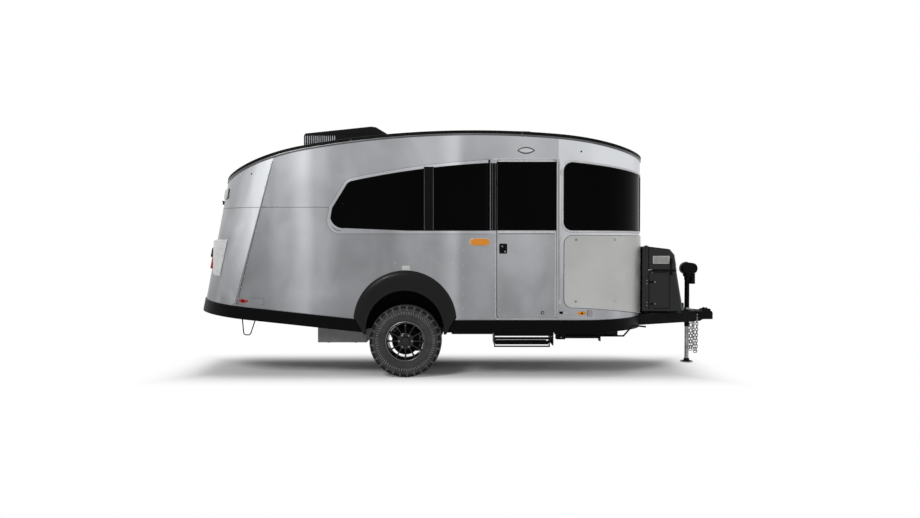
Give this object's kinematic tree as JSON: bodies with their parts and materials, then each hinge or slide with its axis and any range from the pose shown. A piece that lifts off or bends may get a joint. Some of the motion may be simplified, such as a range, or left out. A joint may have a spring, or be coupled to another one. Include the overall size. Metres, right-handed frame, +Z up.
{
  "type": "travel caravan",
  "caption": "Rounded single-axle travel caravan with polished walls, dark wrap-around windows, entry door, rear hatch, front locker and tongue jack.",
  "frame": {"origin": "on the floor, below the centre of the overall box", "axes": "+X forward to the hitch, +Y left, +Z up"},
  "size_m": [6.1099, 2.19, 2.822],
  "materials": {
    "polished_wall": "polished sheet with a soft brushed haze",
    "roof_skin": "satin sheet",
    "trim_band": "satin black over dark ribs",
    "black_skirt": "satin black",
    "black_flare": "satin black",
    "dark_glass": "dark tinted",
    "door_skin": "polished sheet",
    "black_fitting": "satin black",
    "guard_sheet": "bright brushed sheet",
    "unit_shell": "satin black",
    "vent_lid": "pale plastic",
    "amber_lens": "amber lens",
    "red_lens": "red lens",
    "lamp_housing": "grey housing",
    "blank_plate": "blank plate",
    "cover_sheet": "satin sheet",
    "grey_port": "grey plastic",
    "frame_black": "black coated steel",
    "drum_iron": "cast iron",
    "rim_black": "gloss black",
    "tyre_rubber": "black rubber",
    "zinc_steel": "zinc plated",
    "locker_black": "satin black",
    "tank_grey": "dark grey plastic",
    "well_black": "black",
    "floor_board": "sealed board",
    "pan_sheet": "black sheet"
  },
  "bodies": {
    "trailer": {"chassis_frame": "frame_black", "coupler": "frame_black", "axle": "frame_black", "belly_pan": "pan_sheet", "floor_pan": "floor_board", "right_wall": "polished_wall", "left_wall": "polished_wall", "front_wall": "polished_wall", "rear_wall": "polished_wall", "roof": "roof_skin", "roof_trim": "trim_band", "skirt": "black_skirt", "wheel_arch_flares": "black_flare", "wheel_wells": "well_black", "side_windows": "dark_glass", "front_windows": "dark_glass", "stone_guards": "guard_sheet", "fixed_hinges": "guard_sheet", "air_conditioner": "unit_shell", "roof_vent": "vent_lid", "porch_lamp": "amber_lens", "amber_lamps": "amber_lens", "red_lamps": "red_lens", "tail_lamps": "lamp_housing", "high_rear_lamp": "lamp_housing", "number_plate": "blank_plate", "service_covers": "cover_sheet", "service_port": "grey_port", "waste_tank": "tank_grey", "water_tank": "well_black", "rear_skid_loops": "frame_black", "step_frame": "frame_black", "stabiliser_brackets": "frame_black", "jack_body": "frame_black", "safety_chains": "zinc_steel", "locker_body": "locker_black"},
    "left_wheel": {"left_tyre": "tyre_rubber", "left_rim": "rim_black", "left_drum": "drum_iron"},
    "right_wheel": {"right_tyre": "tyre_rubber", "right_rim": "rim_black", "right_drum": "drum_iron"},
    "door": {"entry_door": "door_skin", "door_fittings": "black_fitting", "door_window": "dark_glass"},
    "hatch": {"rear_hatch": "polished_wall", "hatch_fittings": "black_fitting", "hatch_window": "dark_glass"},
    "jack_leg": {"jack_leg": "zinc_steel"},
    "step_arms": {"step_arms": "frame_black"},
    "step_tread": {"step_tread": "frame_black"},
    "left_stabiliser": {"left_stabiliser": "frame_black"},
    "right_stabiliser": {"right_stabiliser": "frame_black"},
    "locker_lid": {"locker_lid": "locker_black"},
    "locker_right_door": {"locker_right_door": "locker_black"},
    "locker_left_door": {"locker_left_door": "locker_black"}
  },
  "joints": [
    {"name": "left_wheel_spin", "type": "hinge", "parent": "trailer", "child": "left_wheel", "pos_m": [-0.635, 0.9155, 0.3925], "axis": [0, 1, 0], "continuous": true},
    {"name": "right_wheel_spin", "type": "hinge", "parent": "trailer", "child": "right_wheel", "pos_m": [-0.635, -0.9155, 0.3925], "axis": [0, 1, 0], "continuous": true},
    {"name": "door_swing", "type": "hinge", "parent": "trailer", "child": "door", "pos_m": [0.997, -1.065, 0.8], "axis": [0, 0, 1], "range_deg": [0, 170]},
    {"name": "hatch_lift", "type": "hinge", "parent": "trailer", "child": "hatch", "pos_m": [-2.81516, 0, 1.94211], "axis": [0, 1, 0], "range_deg": [0, 75]},
    {"name": "jack_slide", "type": "slide", "parent": "trailer", "child": "jack_leg", "axis": [0, 0, 1], "range_m": [-0.1, 0.3]},
    {"name": "step_swing", "type": "hinge", "parent": "trailer", "child": "step_arms", "pos_m": [0.6455, -0.93, 0.385], "axis": [-1, 0, 0], "range_deg": [0, 134]},
    {"name": "step_level", "type": "hinge", "parent": "step_arms", "child": "step_tread", "pos_m": [0.6455, -0.6838, 0.34159], "axis": [-1, 0, 0], "range_deg": [-134, 0]},
    {"name": "left_stabiliser_swing", "type": "hinge", "parent": "trailer", "child": "left_stabiliser", "pos_m": [1.072, 0.82, 0.419], "axis": [0, 1, 0], "range_deg": [0, 75]},
    {"name": "right_stabiliser_swing", "type": "hinge", "parent": "trailer", "child": "right_stabiliser", "pos_m": [1.072, -0.82, 0.419], "axis": [0, 1, 0], "range_deg": [0, 75]},
    {"name": "lid_lift", "type": "hinge", "parent": "trailer", "child": "locker_lid", "pos_m": [2.164, 0, 1.424], "axis": [0, -1, 0], "range_deg": [0, 60]},
    {"name": "right_locker_door_swing", "type": "hinge", "parent": "trailer", "child": "locker_right_door", "pos_m": [2.166, -0.389, 0.9], "axis": [0, 0, -1], "range_deg": [0, 100]},
    {"name": "left_locker_door_swing", "type": "hinge", "parent": "trailer", "child": "locker_left_door", "pos_m": [2.166, 0.389, 0.9], "axis": [0, 0, 1], "range_deg": [0, 100]}
  ],
  "couplings": [
    {"joint": "step_level", "follows": "step_swing", "ratio": -1}
  ]
}
